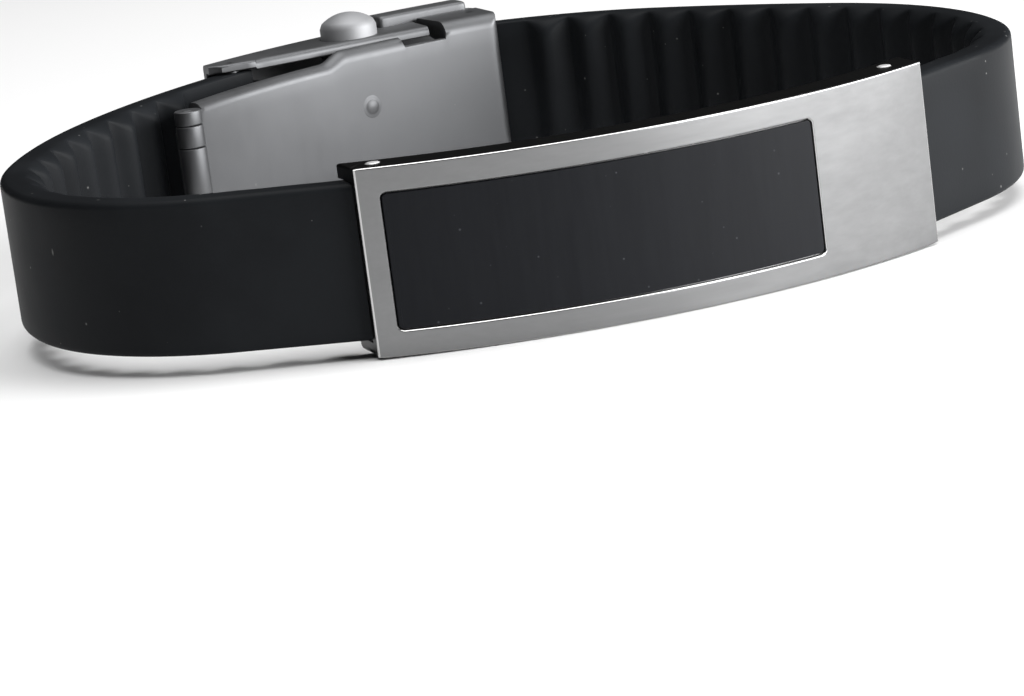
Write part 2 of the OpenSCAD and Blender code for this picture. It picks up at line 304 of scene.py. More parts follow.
def wearGroup():
    # slow cloudy changes from handling, over millimetres
    look = effects["patches"]
    group, start, end = makeGroup("handledPatches", {"Scale": 160.0}, "Patches")
    cloud = addNode(group, "ShaderNodeTexNoise")
    cloud.inputs["Detail"].default_value = look["detail"]
    group.links.new(start.outputs["Vector"], cloud.inputs["Vector"])
    group.links.new(start.outputs["Scale"], cloud.inputs["Scale"])
    group.links.new(rampNode(group, cloud.outputs["Fac"], look["band"]), end.inputs["Patches"])
    return group


brushedGrain, dustSpecks, handledPatches = grainGroup(), speckGroup(), wearGroup()


def startFinish(name):
    material = bpy.data.materials.new(name)
    material.use_nodes = True
    tree = material.node_tree
    shader = tree.nodes["Principled BSDF"]
    place = addNode(tree, "ShaderNodeTexCoord")
    return material, tree, shader, place


def placeGroup(tree, group, vector, **values):
    node = addNode(tree, "ShaderNodeGroup", node_tree=group)
    tree.links.new(vector, node.inputs["Vector"])
    for label, value in values.items():
        node.inputs[label].default_value = value
    return node.outputs[0]


def stretch(tree, vector, scale, turn=(0, 0, 0)):
    node = addNode(tree, "ShaderNodeMapping")
    node.inputs["Scale"].default_value = scale
    node.inputs["Rotation"].default_value = [math.radians(a) for a in turn]
    tree.links.new(vector, node.inputs["Vector"])
    return node.outputs["Vector"]


def addBump(tree, shader, height, strength, distance):
    bump = addNode(tree, "ShaderNodeBump")
    bump.inputs["Strength"].default_value = strength
    bump.inputs["Distance"].default_value = distance
    tree.links.new(height, bump.inputs["Height"])
    tree.links.new(bump.outputs["Normal"], shader.inputs["Normal"])


def metalFinish(name, look):
    # steel or the black window: grain drives colour, roughness and a faint relief, and handling
    # varies the gloss
    material, tree, shader, place = startFinish(name)
    vector = place.outputs["Object"]
    grain = placeGroup(tree, brushedGrain, stretch(tree, vector, look["grainScale"]),
                       Contrast=look["contrast"])
    patches = placeGroup(tree, handledPatches, vector, Scale=look["patchScale"])
    specks = placeGroup(tree, dustSpecks, vector, Scale=look["speckScale"],
                        Share=look["speckShare"], Size=look["speckSize"])
    colour = mixColour(tree, grain, look["dark"], look["light"])
    rough = mathNode(tree, "ADD", rampNode(tree, grain, effects["grain"]["band"], *look["rough"]),
                     mathNode(tree, "MULTIPLY", patches, look["patchRough"]))
    if "sides" in look:
        # polished front edges with a painted highlight in their colour, and a painted dark
        # reflection on the sides that look neither forwards nor backwards
        across = addNode(tree, "ShaderNodeSeparateXYZ")
        tree.links.new(place.outputs["Normal"], across.inputs["Vector"])
        front = mathNode(tree, "MULTIPLY", across.outputs["Y"], -1.0)
        # painted highlight: the bevels of the front edges, picked by the normal's Y, get a lighter
        # colour
        edge = mathNode(tree, "MULTIPLY", rampNode(tree, front, look["paintedHighlightFrom"]),
                        rampNode(tree, front, look["paintedHighlightTo"], 1.0, 0.0))
        colour = mixColour(tree, edge, colour, look["edges"])
        rough = mathNode(tree, "SUBTRACT", rough,
                         mathNode(tree, "MULTIPLY", edge, look["edgePolish"]))
        # painted dark reflection: faces turned neither forwards nor backwards get a near-black
        # colour
        side = rampNode(tree, mathNode(tree, "ABSOLUTE", across.outputs["Y"]),
                        look["paintedDarkBand"], 1.0, 0.0)
        colour = mixColour(tree, side, colour, look["sides"])
        rough = mathNode(tree, "ADD", mathNode(tree, "MULTIPLY", rough,
                         mathNode(tree, "SUBTRACT", 1.0, side)),
                         mathNode(tree, "MULTIPLY", side, look["sideRough"]))
    colour = mixColour(tree, mathNode(tree, "MULTIPLY", specks, look["speckStrength"]),
                       colour, look["speck"])
    tree.links.new(colour, shader.inputs["Base Color"])
    tree.links.new(mathNode(tree, "MULTIPLY_ADD", specks, effects["specks"]["rough"], rough,
                            clamp=True), shader.inputs["Roughness"])
    shader.inputs["Metallic"].default_value = look["metallic"]
    shader.inputs["Specular IOR Level"].default_value = look["gloss"]
    height = mathNode(tree, "MULTIPLY_ADD", specks, effects["specks"]["metalRelief"], grain)
    addBump(tree, shader, height, look["relief"], look["reliefDepth"])
    return material


def rubberFinish(name, look):
    # matt moulded rubber: a fine pebbled skin, cloudy gloss and clinging dust
    material, tree, shader, place = startFinish(name)
    vector = place.outputs["Object"]
    patches = placeGroup(tree, handledPatches, vector, Scale=look["patchScale"])
    dust = placeGroup(tree, dustSpecks, vector, Scale=look["dustScale"],
                      Share=look["dustShare"], Size=look["dustSize"])
    lint = placeGroup(tree, dustSpecks,
                      stretch(tree, vector, look["lintStretch"], look["lintTurn"]),
                      Scale=look["lintScale"], Share=look["lintShare"], Size=look["lintSize"])
    specks = mathNode(tree, "MAXIMUM", dust, lint)
    skin = addNode(tree, "ShaderNodeTexNoise")
    skin.inputs["Scale"].default_value = look["skinScale"]
    skin.inputs["Detail"].default_value = look["skinDetail"]
    tree.links.new(vector, skin.inputs["Vector"])
    colour = mixColour(tree, patches, look["dark"], look["light"])
    colour = mixColour(tree, mathNode(tree, "MULTIPLY", specks, look["dustStrength"]),
                       colour, look["dust"])
    tree.links.new(colour, shader.inputs["Base Color"])
    tree.links.new(mathNode(tree, "MULTIPLY_ADD", patches, look["rough"][1] - look["rough"][0],
                            look["rough"][0]), shader.inputs["Roughness"])
    shader.inputs["Specular IOR Level"].default_value = look["gloss"]
    height = mathNode(tree, "MULTIPLY_ADD", specks, effects["specks"]["rubberRelief"],
                      skin.outputs["Fac"])
    addBump(tree, shader, height, look["relief"], look["reliefDepth"])
    return material


finishes = {
    "plateSteel": metalFinish("plateSteel", {
        "dark": (0.178, 0.179, 0.181), "light": (0.257, 0.259, 0.261),
        "metallic": 1.0, "gloss": 0.5,
        "grainScale": (140, 2600, 2600), "contrast": 0.9, "rough": (0.28, 0.33),
        "patchScale": 120.0, "patchRough": 0.02, "relief": 0.15, "reliefDepth": 0.00001,
        "speckScale": 700.0, "speckShare": 0.05, "speckSize": 0.14, "speckStrength": 0.35,
        # sides is a painted dark reflection on the plate's top, bottom and ends; edges is a painted
        # highlight on its front bevels
        "speck": (0.38, 0.37, 0.36), "sides": (0.03, 0.03, 0.03), "edges": (0.55, 0.55, 0.545),
        "paintedDarkBand": (0.06, 0.20), "sideRough": 0.30, "paintedHighlightFrom": (0.12, 0.30),
        "paintedHighlightTo": (0.80, 0.86), "edgePolish": 0.12}),
    "windowBlack": metalFinish("windowBlack", {
        "dark": (0.0056, 0.0061, 0.0078), "light": (0.0100, 0.0109, 0.0130),
        "metallic": 0.0, "gloss": 0.11,
        "grainScale": (2600, 2600, 180), "contrast": 1.6, "rough": (0.40, 0.50),
        "patchScale": 200.0, "patchRough": 0.06, "relief": 0.2, "reliefDepth": 0.000012,
        "speckScale": 1100.0, "speckShare": 0.6, "speckSize": 0.09, "speckStrength": 0.6,
        "speck": (0.10, 0.105, 0.115)}),
    "claspSteel": metalFinish("claspSteel", {
        "dark": (0.116, 0.118, 0.122), "light": (0.157, 0.160, 0.166),
        "metallic": 1.0, "gloss": 0.5,
        "grainScale": (900, 900, 420), "contrast": 0.9, "rough": (0.45, 0.55),
        "patchScale": 140.0, "patchRough": 0.06, "relief": 0.12, "reliefDepth": 0.00001,
        "speckScale": 800.0, "speckShare": 0.05, "speckSize": 0.13, "speckStrength": 0.3,
        "speck": (0.62, 0.62, 0.62)}),
    "buttonSteel": metalFinish("buttonSteel", {
        "dark": (0.28, 0.283, 0.292), "light": (0.35, 0.354, 0.365),
        "metallic": 0.55, "gloss": 0.4,
        "grainScale": (1300, 1300, 1300), "contrast": 0.8, "rough": (0.56, 0.66),
        "patchScale": 200.0, "patchRough": 0.05, "relief": 0.08, "reliefDepth": 0.00001,
        "speckScale": 900.0, "speckShare": 0.04, "speckSize": 0.12, "speckStrength": 0.3,
        "speck": (0.4, 0.4, 0.4)}),
    "pinSteel": metalFinish("pinSteel", {
        "dark": (0.56, 0.56, 0.56), "light": (0.72, 0.72, 0.72),
        "metallic": 0.3, "gloss": 0.5,
        "grainScale": (2500, 2500, 2500), "contrast": 0.6, "rough": (0.36, 0.44),
        "patchScale": 400.0, "patchRough": 0.05, "relief": 0.05, "reliefDepth": 0.000005,
        "speckScale": 1500.0, "speckShare": 0.04, "speckSize": 0.12, "speckStrength": 0.3,
        "speck": (0.4, 0.4, 0.4)}),
    "strapRubber": rubberFinish("strapRubber", {
        "dark": (0.0088, 0.0097, 0.0110), "light": (0.0126, 0.0139, 0.0157),
        "rough": (0.44, 0.54), "gloss": 0.06, "patchScale": 110.0, "skinScale": 5200.0,
        "skinDetail": 3.0, "relief": 0.25, "reliefDepth": 0.00002,
        "dustScale": 800.0, "dustShare": 0.75, "dustSize": 0.075,
        "lintScale": 420.0, "lintShare": 0.25, "lintSize": 0.045, "lintStretch": (1, 1, 0.45),
        "lintTurn": (20, 35, 10), "dustStrength": 0.9, "dust": (0.20, 0.20, 0.195)}),
}
print("finishes ready:", len(finishes))


# identity plate
plate = {
    "height": 12.0, "radius": 42.2, "thickness": 2.8, "width": 39.0, "front": 30.3,  # mm
    "steps": 66, "halfSpan": 30.69,                 # facets of the curve and degrees each side
    "rim": 0.11, "rimSegments": 3, "backEdge": 0.1, "backSegments": 2,
    "topCorner": 0.16, "lowCorner": 0.45, "smooth": 12,
    "onFace": 0.02, "nearEnd": 0.1, "behind": 0.5,  # reach of the edge picks, in mm
    "past": 1.0,                                    # how far a cutter stands out of the plate
    "pocket": {"to": 14.0, "inner": 36, "skin": 0.6, "lip": 0.9, "halfSpan": 32, "steps": 40},
    "bore": 0.52,
    "window": {"width": 28.0, "height": 8.75, "margin": 1.3, "corner": 0.4, "seat": 0.41,
               "cornerSegments": 6, "cut": (-40, -20)},     # its cutter's reach in Y
    "inlay": {"thickness": 0.3, "sink": 0.08, "play": 0.1, "edge": 0.04, "segments": 2},
}
plateCentre = plate["radius"] - plate["front"]
windowX = plate["window"]["margin"] - plate["width"] / 2 + plate["window"]["width"] / 2


def arcSlab(name, inner, outer, low, high, halfSpan=plate["halfSpan"], steps=plate["steps"]):
    # a curved slab about the plate's centre of curvature
    slab = spunSlab(name, -1, inner, outer, low, high, halfSpan, 2 * halfSpan, steps)
    slab.location.y = plateCentre * mm
    applyTransform(slab)
    return slab


def sawOff(piece, x, side):
    # cut square at x; what lies beyond it on that side goes
    openEdit(piece)
    bpy.ops.mesh.bisect(plane_co=(x * mm, 0, 0), plane_no=(side, 0, 0), use_fill=True,
                        clear_outer=True, clear_inner=False)
    closeEdit()


def windowBlock(name, play):
    # block with four rounded corners, as large as the window less its play
    window = plate["window"]
    near, far = window["cut"]
    deselectAll()
    bpy.ops.mesh.primitive_cube_add(size=1)
    block = bpy.context.object
    block.name = name
    block.scale = ((window["width"] - 2 * play) * mm, (far - near) * mm,
                   (window["height"] - 2 * play) * mm)
    block.location = (windowX * mm, (near + far) / 2 * mm, plate["height"] / 2 * mm)
    applyTransform(block)
    bevelEdges(block, runsBack, window["corner"] - play, window["cornerSegments"])
    return block


def radiusAt(point):
    return math.hypot(point.x, point.y - plateCentre * mm) / mm


def makePlate(pinPlaces):
    pocket, height = plate["pocket"], plate["height"]
    below, above = -plate["past"], height + plate["past"]
    body = arcSlab("idPlate", plate["radius"] - plate["thickness"], plate["radius"], 0, height)
    for side in (-1, 1):
        sawOff(body, side * plate["width"] / 2, side)
    # the four corners of its outline
    farEnd = (plate["width"] / 2 - plate["onFace"]) * mm
    for atCorner, width in (
            (lambda v: v.co.z > (height - plate["nearEnd"]) * mm, plate["topCorner"]),
            (lambda v: v.co.z < plate["nearEnd"] * mm, plate["lowCorner"])):
        bevelEdges(body, lambda e: runsBack(e)
                   and all(atCorner(v) and abs(v.co.x) > farEnd for v in e.verts),
                   width, plate["rimSegments"])
    # window seat, its floor curved like the plate
    floorRadius = plate["radius"] - plate["window"]["seat"]
    seat = arcSlab("seat", floorRadius, plate["radius"] + plate["past"], below, above)
    combine(seat, windowBlock("hole", 0.0), "INTERSECT")
    combine(body, seat, "DIFFERENCE")

    def onFront(edge):
        return all(radiusAt(v.co) > plate["radius"] - plate["onFace"] for v in edge.verts)

    def onBack(edge):
        return all(radiusAt(v.co) < floorRadius - plate["behind"] for v in edge.verts)

    bevelEdges(body, lambda e: onFront(e) and isSharp(e), plate["rim"], plate["rimSegments"])
    bevelEdges(body, lambda e: onBack(e) and isSharp(e), plate["backEdge"], plate["backSegments"])
    # pockets for the strap ends, then the pin bores
    for side in (-1, 1):
        room = arcSlab("pocket", pocket["inner"], plate["radius"] - pocket["skin"], pocket["lip"],
                       height - pocket["lip"], pocket["halfSpan"], pocket["steps"])
        sawOff(room, side * pocket["to"], -side)
        combine(body, room, "DIFFERENCE")
    for x, y in pinPlaces:
        combine(body, roundRod("bore", x, y, plate["bore"], below, above), "DIFFERENCE")
    return body


def makeInlay():
    inlay = plate["inlay"]
    outer = plate["radius"] - inlay["sink"]
    body = arcSlab("windowInlay", outer - inlay["thickness"], outer, -plate["past"],
                   plate["height"] + plate["past"])
    combine(body, windowBlock("outline", inlay["play"]), "INTERSECT")
    bevelEdges(body, lambda e: isSharp(e)
               and all(radiusAt(v.co) > outer - plate["onFace"] for v in e.verts),
               inlay["edge"], inlay["segments"])
    return body


# straps
strap = {
    "height": 10.0, "thickness": 1.9, "ribHeight": 1.1, "ribPitch": 3.7,  # mm
    "outerRound": 0.45, "grooveRound": 0.2, "crestRound": 1.4,
    "insert": 4.7, "ribSteps": 14, "ribFullness": 0.8, "plainStep": 0.6,
    "cornerSteps": 5, "rows": 8, "across": 3, "smooth": 42,
    # each run is a row of (length, radius) from the plate to the clasp, straight where it is 0;
    # platePin and claspPin are the pins' distances from its two ends
    "left": {"side": -1, "plain": (5.4, 5.0), "platePin": 3.7, "claspPin": 1.2,
             "run": [(4.7, 41.5), (0.7, 20), (8.3, 0), (17, 18), (13, 25), (15, 52),
                     (18.5, 62), (3.2, 30)]},
    "right": {"side": 1, "plain": (5.4, 4.6), "platePin": 3.0, "claspPin": 1.7,
              "run": [(4.7, 41.5), (1, 16), (6.5, 0), (13.5, 18), (23, 30), (16, 110),
                      (17.2, 27)]},
}
strapRadius = strap["left"]["run"][0][1]
strapAngle = math.asin(plate["width"] / 2 / plate["radius"]) - strap["insert"] / strapRadius
strapStart = (strapRadius * math.sin(strapAngle), plateCentre - strapRadius * math.cos(strapAngle),
              strapAngle)


def walk(point, length, radius):
    # point and heading after one stretch: straight where the radius is 0
    x, y, heading = point
    if radius == 0:
        return x + length * math.cos(heading), y + length * math.sin(heading), heading
    turned = heading + length / radius
    return (x + radius * (math.sin(turned) - math.sin(heading)),
            y - radius * (math.cos(turned) - math.cos(heading)), turned)


def onStrap(half, distance, depth):
    # place on the strap, depth measured inwards from its outer face
    point = strapStart
    for length, radius in half["run"][:-1]:
        if distance <= length:
            break
        point = walk(point, length, radius)
        distance -= length
    else:
        length, radius = half["run"][-1]
    x, y, heading = walk(point, distance, radius)
    return half["side"] * (x - depth * math.sin(heading)), y + depth * math.cos(heading)


def runLength(half):
    return sum(length for length, radius in half["run"])


def pinPlace(half, distance):
    # a cross pin goes through the middle of the strap where it has no ribs
    return onStrap(half, distance, strap["thickness"] / 2)


def stationsOf(half):
    # (distance, rib height there): the ribs are soft waves
    total, (first, last) = runLength(half), half["plain"]
    count = math.floor((total - first - last) / strap["ribPitch"])
    found = []
    steps = math.ceil(first / strap["plainStep"])
    found += [(first * i / steps, 0.0) for i in range(steps)]
    for rib in range(count):
        for i in range(strap["ribSteps"]):
            part = i / strap["ribSteps"]
            wave = (0.5 - 0.5 * math.cos(2 * math.pi * part)) ** strap["ribFullness"]
            found.append((first + (rib + part) * strap["ribPitch"], strap["ribHeight"] * wave))
    ribsEnd = first + count * strap["ribPitch"]
    steps = math.ceil((total - ribsEnd) / strap["plainStep"])
    found += [(ribsEnd + (total - ribsEnd) * i / steps, 0.0) for i in range(steps + 1)]
    return found


def ringAt(rise):
    # closed section as (depth, height), outer face first, corners rounded
    depth, high = strap["thickness"] + rise, strap["height"]
    outer, groove, crest = strap["outerRound"], strap["grooveRound"], strap["crestRound"]
    inner = groove + (crest - groove) * rise / strap["ribHeight"]
    corner, rows, across = strap["cornerSteps"], strap["rows"], strap["across"]
    ring = []

    def arc(cx, cz, radius, fromDegrees):
        for i in range(corner):
            a = math.radians(fromDegrees - 90 * i / corner)
            ring.append((cx + radius * math.cos(a), cz + radius * math.sin(a)))

    def line(start, end, count):
        for i in range(count):
            ring.append(tuple(start[k] + (end[k] - start[k]) * i / count for k in (0, 1)))

    arc(outer, outer, outer, 270)
    line((0, outer), (0, high - outer), rows)
    arc(outer, high - outer, outer, 180)
    line((outer, high), (depth - inner, high), across)
    arc(depth - inner, high - inner, inner, 90)
    line((depth, high - inner), (depth, inner), rows)
    arc(depth - inner, inner, inner, 0)
    line((depth - inner, 0), (outer, 0), across)
    return ring


def makeStrap(name, half):
    # the section led along the run, in the middle of the plate's height
    low = (plate["height"] - strap["height"]) / 2

    def place(distance, depth, height):
        x, y = onStrap(half, distance, depth)
        return x * mm, y * mm, (low + height) * mm

    rings = [(distance, ringAt(rise)) for distance, rise in stationsOf(half)]
    return sweepRings(name, rings, place)


# turned pieces
turned = {
    "sides": 48, "quarterSteps": 4, "pinRadius": 0.5, "pinEdge": 0.12,  # mm
    "platePinProud": 0.06, "platePinEdge": 0.2,
}


def turnedPiece(name, profile, x, y):
    # a half profile of (radius, height) spun about an upright axis
    deselectAll()
    bpy.ops.mesh.primitive_plane_add(size=1)
    body = bpy.context.object
    body.name = name
    points = [(r * mm, 0, z * mm) for r, z in profile]
    body.data.clear_geometry()
    body.data.from_pydata(points, [(i, i + 1) for i in range(len(points) - 1)], [])
    openEdit(body)
    bpy.ops.mesh.spin(steps=turned["sides"], angle=2 * math.pi, center=(0, 0, 0), axis=(0, 0, 1))
    bpy.ops.mesh.select_all(action="SELECT")
    bpy.ops.mesh.remove_doubles(threshold=merge["turned"])
    faceOutwards()
    closeEdit()
    body.location = (x * mm, y * mm, 0)
    applyTransform(body)
    return body


def quarter(cx, cz, radius, fromDegrees):
    count = turned["quarterSteps"]
    return [(cx + radius * math.cos(math.radians(a)), cz + radius * math.sin(math.radians(a)))
            for a in [fromDegrees + 90 * i / count for i in range(count + 1)]]


def pinProfile(radius, low, high, edge=turned["pinEdge"]):
    return ([(0, low)] + quarter(radius - edge, low + edge, edge, -90)
            + quarter(radius - edge, high - edge, edge, 0) + [(0, high)])


def ballRadius(radius, rise):
    # of the ball whose cap is so wide and so high
    return (radius ** 2 + rise ** 2) / (2 * rise)


def capProfile(ball, top, reach, steps):
    # from the cap's rim up to its top
    return [(ball * math.sin(t), top - ball + ball * math.cos(t))
            for t in [reach * (1 - i / steps) for i in range(steps + 1)]]


# clasp
clasp = {
    "middle": (11.3, -11.3), "inner": 41.8, "outer": 49.6, "coverHeight": 11.5,  # mm
    "knuckle": (42.2, -42.5), "knuckleRadius": 1.0, "knucklePlay": 0.03, "knuckleGap": 0.1,
    "knuckleMarks": (1.5, 2.6, 4.25, 7.75, 9.4, 10.5), "knuckleEdge": 0.1,
    "hingeRadius": 0.45, "barStep": 0.8, "smooth": 35,
}
channel = {
    "inside": 0.15, "insideSteps": 3, "bendSteps": 8, "tipSteps": 4, "quarters": 4,
    "room": 0.05, "flangeFrom": 0.2, "chamfer": 0.08, "edgeRow": 0.12, "edgeRows": 6,
}
coverTop = (plate["height"] + clasp["coverHeight"]) / 2
mirrorUp = Matrix.Translation((0, 0, plate["height"] * mm)) @ Matrix.Scale(-1, 4, (0, 0, 1))


def claspPoint(radius, bearing):
    # bearings are read from +Y towards +X
    a = math.radians(bearing)
    return clasp["middle"][0] + radius * math.sin(a), clasp["middle"][1] + radius * math.cos(a)


def bearingOf(x, radius):
    return math.degrees(math.asin((x - clasp["middle"][0]) / radius))


def quarterTurn(steps):
    return [math.pi / 2 * i / steps for i in range(steps + 1)]


def channelRing(half, sheet, depth, wall, bend, tip, clear=0.0):
    # section of a sheet with turned edges as (distance behind its face, height), with the same
    # number of points whether it has edges or is plain
    inside, parts = channel["inside"], channel["quarters"]
    reach = min(bend, max(depth, sheet) - tip - channel["room"])
    upper = [(0.0, (half - bend) * i / parts) for i in range(parts)]
    upper += [(reach - reach * math.cos(t), half - bend + bend * math.sin(t))
              for t in quarterTurn(channel["bendSteps"])]
    if depth > sheet + channel["flangeFrom"]:
        upper += [(reach + (depth - tip - reach) * i / 3, half) for i in (1, 2)]
        upper += [(depth - tip + tip * math.sin(t), half - tip + tip * math.cos(t))
                  for t in quarterTurn(channel["tipSteps"])]
        upper += [(depth, half - wall + channel["chamfer"]),
                  (depth - channel["chamfer"], half - wall)]
        upper += [(sheet + inside - inside * math.sin(t),
                   half - wall - inside + inside * math.cos(t))
                  for t in quarterTurn(channel["insideSteps"])]
    else:
        edge = min(tip, sheet / 2)
        upper += [(reach + (sheet - edge - reach) * i / 3, half) for i in (1, 2)]
        upper += [(sheet - edge + edge * math.sin(t), half - edge + edge * math.cos(t))
                  for t in quarterTurn(channel["tipSteps"])]
        upper += [(sheet, half - edge - channel["edgeRow"] * i)
                  for i in range(1, channel["edgeRows"] + 1)]
    top = upper[-1][1]
    upper += [(sheet, top * (1 - i / parts)) for i in range(1, parts)]
    upper = [(max(u, clear), z) for u, z in upper]
    lower = [(u, -z) for u, z in reversed(upper[1:])]
    return upper + [(max(sheet, clear), 0.0)] + lower


def joinInto(body, parts):
    makeActive(body)
    for part in parts:
        part.select_set(True)
    bpy.ops.object.join()
    return body


def smoothStep(value, low, high):
    t = min(max((value - low) / (high - low), 0.0), 1.0)
    return t * t * (3 - 2 * t)


def claspBar(name, inner, outer, low, high, fromBearing, toBearing, edge, segments=2):
    # curved bar about the clasp's centre, its edges eased
    sweep = toBearing - fromBearing
    bar = spunSlab(name, 1, inner, outer, low, high, -fromBearing, sweep,
                   max(2, round(sweep / clasp["barStep"])))
    bevelEdges(bar, isSharp, edge, segments)
    bar.location = (clasp["middle"][0] * mm, clasp["middle"][1] * mm, 0)
    applyTransform(bar)
    return bar


def turnOver(piece):
    # mirror image of an upper part, for the clasp's lower side
    piece.data.transform(mirrorUp)
    piece.data.flip_normals()


def knuckleBarrels(owner):
    # every second barrel on the hinge pin, from owner 0 for the base or 1 for the cover
    marks, place = clasp["knuckleMarks"], claspPoint(*clasp["knuckle"])
    made = []
    for k in range(owner, len(marks) - 1, 2):
        profile = pinProfile(clasp["knuckleRadius"], marks[k] + clasp["knucklePlay"],
                             marks[k + 1] - clasp["knucklePlay"], clasp["knuckleEdge"])
        made.append(turnedPiece("barrel", profile, *place))
    return made


def clearKnuckles(body, other):
    # room in a leaf for the other leaf's barrels
    marks, place = clasp["knuckleMarks"], claspPoint(*clasp["knuckle"])
    radius, play = clasp["knuckleRadius"] + clasp["knuckleGap"], clasp["knucklePlay"]
    for k in range(other, len(marks) - 1, 2):
        room = roundRod("room", *place, radius, marks[k] - play, marks[k + 1] + play)
        combine(body, room, "DIFFERENCE")
    return body


base = {
    "sheet": 0.8, "tongueHalf": 4.75, "tongueBend": 0.8, "tabHalf": 5.45, "tabBend": 1.0,  # mm
    "tabDepth": 1.2, "bareHalf": 4.75, "earHalf": 6.0, "earBend": 1.15, "earDepth": 5.2,
    "knuckleHalf": 4.3, "endRound": 0.75, "tip": 0.25,
    "from": -42.5, "knuckleTo": -40.6, "tabFrom": -21.2, "tabFull": -18.4,  # bearings in degrees
    "tabTo": -11.1, "earFrom": -6.1, "to": 0.1, "step": 0.7, "jump": 0.08, "smallJump": 0.01,
    "riseSteps": 10, "endSteps": 6, "bareEdge": 0.12,
    "stud": {"bearing": -16.1, "z": 6.8, "radius": 0.66, "rise": 0.2, "foot": 0.24, "root": 0.3,
             "footSink": 0.01, "footShare": 0.3, "footRise": 0.04, "domeShare": 0.92,
             "steps": 8},
}


def baseRings():
    middle, sheet, tip = plate["height"] / 2, base["sheet"], base["tip"]
    bare, jump = base["bareEdge"], base["jump"]
    marks = [base["from"], base["knuckleTo"], base["tabFrom"], base["tabFull"], base["tabTo"],
             base["earFrom"], base["to"]]
    bearings = set()
    for first, last in zip(marks, marks[1:]):
        count = max(2, math.ceil((last - first) / base["step"]))
        if first == base["tabFrom"]:
            count = base["riseSteps"]
        bearings.update(first + (last - first) * i / count for i in range(count + 1))
    endTurn = math.degrees(base["endRound"] / clasp["inner"])
    bearings.update(base["to"] - endTurn * (1 - math.sin(t))
                    for t in quarterTurn(base["endSteps"]))
    rings = []
    for b in sorted(bearings):
        grow = smoothStep(b, base["tabFrom"], base["tabFull"])
        half = base["tongueHalf"] + (base["tabHalf"] - base["tongueHalf"]) * grow
        bend = base["tongueBend"] + (base["tabBend"] - base["tongueBend"]) * grow
        past = max(0.0, b - (base["to"] - endTurn)) / endTurn
        clear = base["endRound"] * (1 - math.sqrt(max(0.0, 1 - past * past)))
        flanged = channelRing(half, sheet, base["tabDepth"], sheet, bend, tip)
        plain = channelRing(base["bareHalf"], sheet, 0, sheet, bare, bare)
        ear = channelRing(base["earHalf"], sheet, base["earDepth"], sheet, base["earBend"],
                          tip, clear)
        narrow = channelRing(base["knuckleHalf"], sheet, 0, sheet, bare, bare)
        if math.isclose(b, base["knuckleTo"]):
            rings += [(b - base["smallJump"], narrow), (b + jump, flanged)]
        elif math.isclose(b, base["tabTo"]):
            rings += [(b - jump, flanged), (b + jump, plain)]
        elif math.isclose(b, base["earFrom"]):
            rings += [(b - jump, plain), (b + jump, ear)]
        elif b < base["knuckleTo"]:
            rings.append((b, narrow))
        elif b < base["tabTo"]:
            rings.append((b, flanged))
        else:
            rings.append((b, plain if b < base["earFrom"] else ear))
    return [(b, [(u, z + middle) for u, z in ring]) for b, ring in rings]


def onBase(bearing, u, z):
    return Vector((*claspPoint(clasp["inner"] + u, bearing), z)) * mm


def makeBase():
    body = sweepRings("claspBase", baseRings(), onBase)
    clearKnuckles(body, 1)
    stud = base["stud"]
    ball, foot = ballRadius(stud["radius"], stud["rise"]), stud["radius"] + stud["foot"]
    profile = [(0, -stud["root"]), (foot, -stud["root"]), (foot, -stud["footSink"]),
               (stud["radius"] + stud["footShare"] * stud["foot"], stud["footRise"])]
    reach = stud["domeShare"] * math.asin(stud["radius"] / ball)
    profile += capProfile(ball, stud["rise"], reach, stud["steps"])
    dot = turnedPiece("stud", profile, 0, 0)
    dot.rotation_euler = (math.pi / 2, 0, -math.radians(stud["bearing"]))
    x, y = claspPoint(clasp["inner"], stud["bearing"])
    dot.location = (x * mm, y * mm, stud["z"] * mm)
    applyTransform(dot)
    return joinInto(body, [dot] + knuckleBarrels(0))


cover = {
    "sheet": 0.6, "left": -12.15, "right": 13.4, "corner": 2.0, "half": 5.75, "bend": 0.4,  # mm
    "wall": 0.75, "wallLeft": -8.6, "wallRight": 6.0, "lip": 0.6, "tip": 0.45, "thinTip": 0.2,
    "bendShare": 0.55, "step": 0.8, "jump": 0.05, "cornerSteps": 10, "last": 0.01,
    "wallEdge": [(-8.6, 30.1), (2.3, 31.3), (6.0, 31.5)],
    "lipEdge": [(-12.15, 30.9), (-11.3, 30.2), (-8.6, 30.1)],
    "shoulder": {"x": (3.3, 10.8), "inner": 47.2, "outer": 49.58, "half": 6.6, "edge": 0.32,
                 "segments": 4},
    "web": {"from": -25.1, "to": -24.3, "inner": 46.2, "z": (2.0, 10.0), "edge": 0.05},
    "arm": {"inner": 42.9, "z": (3.15, 8.85), "edge": 0.06}, "underSkin": 0.3,
}


def alongEdge(points, x):
    for (x0, y0), (x1, y1) in zip(points, points[1:]):
        if x <= x1:
            return y0 + (y1 - y0) * (x - x0) / (x1 - x0)
    return points[-1][1]


